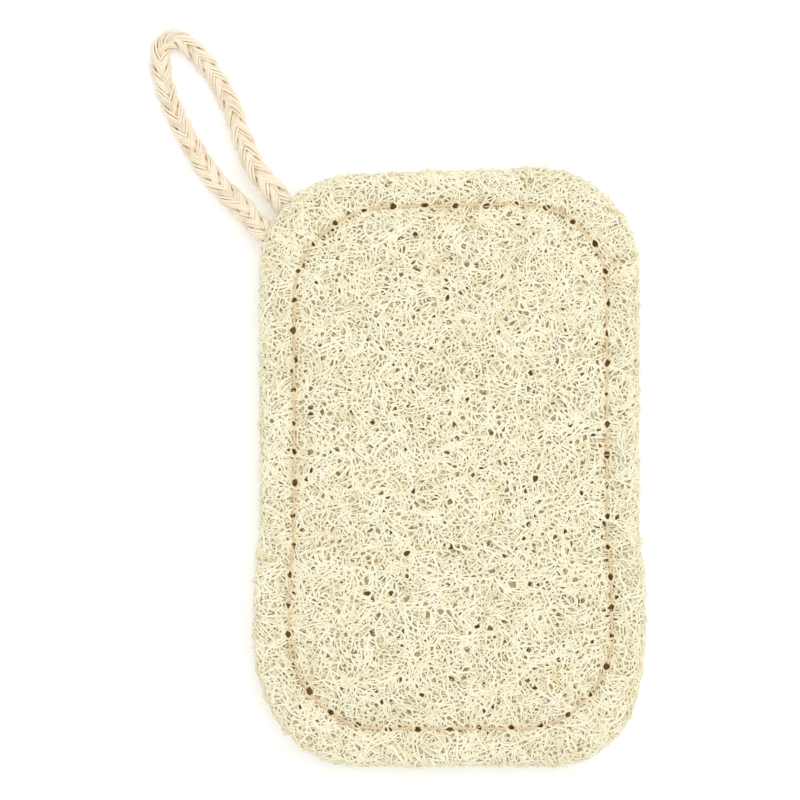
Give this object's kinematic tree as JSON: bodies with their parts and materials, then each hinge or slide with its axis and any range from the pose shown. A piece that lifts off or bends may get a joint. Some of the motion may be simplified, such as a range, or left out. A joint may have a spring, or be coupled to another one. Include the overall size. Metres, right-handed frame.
{
  "type": "loofah scrubber pad with hanging loop",
  "caption": "Flat rounded loofah scrubber pad, layers lockstitched round the rim, with a braided cotton hanging loop at one corner.",
  "frame": {"origin": "centre of the pad's underside, the pad lying on its back", "axes": "+Z through the pad's thickness to the front face, +Y along the pad's length towards the end with the loop, +X across it away from the loop's corner"},
  "size_m": [0.1044, 0.1556, 0.012],
  "materials": {
    "loofah_sheet": "matte natural vegetable fibre",
    "loofah_core": "matte natural vegetable fibre, deeper colour",
    "sewing_thread": "twisted cotton thread",
    "cotton_cord": "braided unbleached cotton"
  },
  "bodies": {
    "pad": {"front_loofah_sheet": "loofah_sheet", "inner_loofah_layer": "loofah_core", "back_loofah_sheet": "loofah_sheet", "needle_thread": "sewing_thread", "bobbin_thread": "sewing_thread", "cord_tail_right": "cotton_cord", "cord_tail_left": "cotton_cord"},
    "loop": {"hanging_loop": "cotton_cord"}
  },
  "joints": [
    {"name": "loop_flap", "type": "hinge", "parent": "pad", "child": "loop", "pos_m": [-0.039, 0.05491, 0.006], "axis": [0.5293, 0.8484, 0], "range_deg": [-90, 90]}
  ]
}
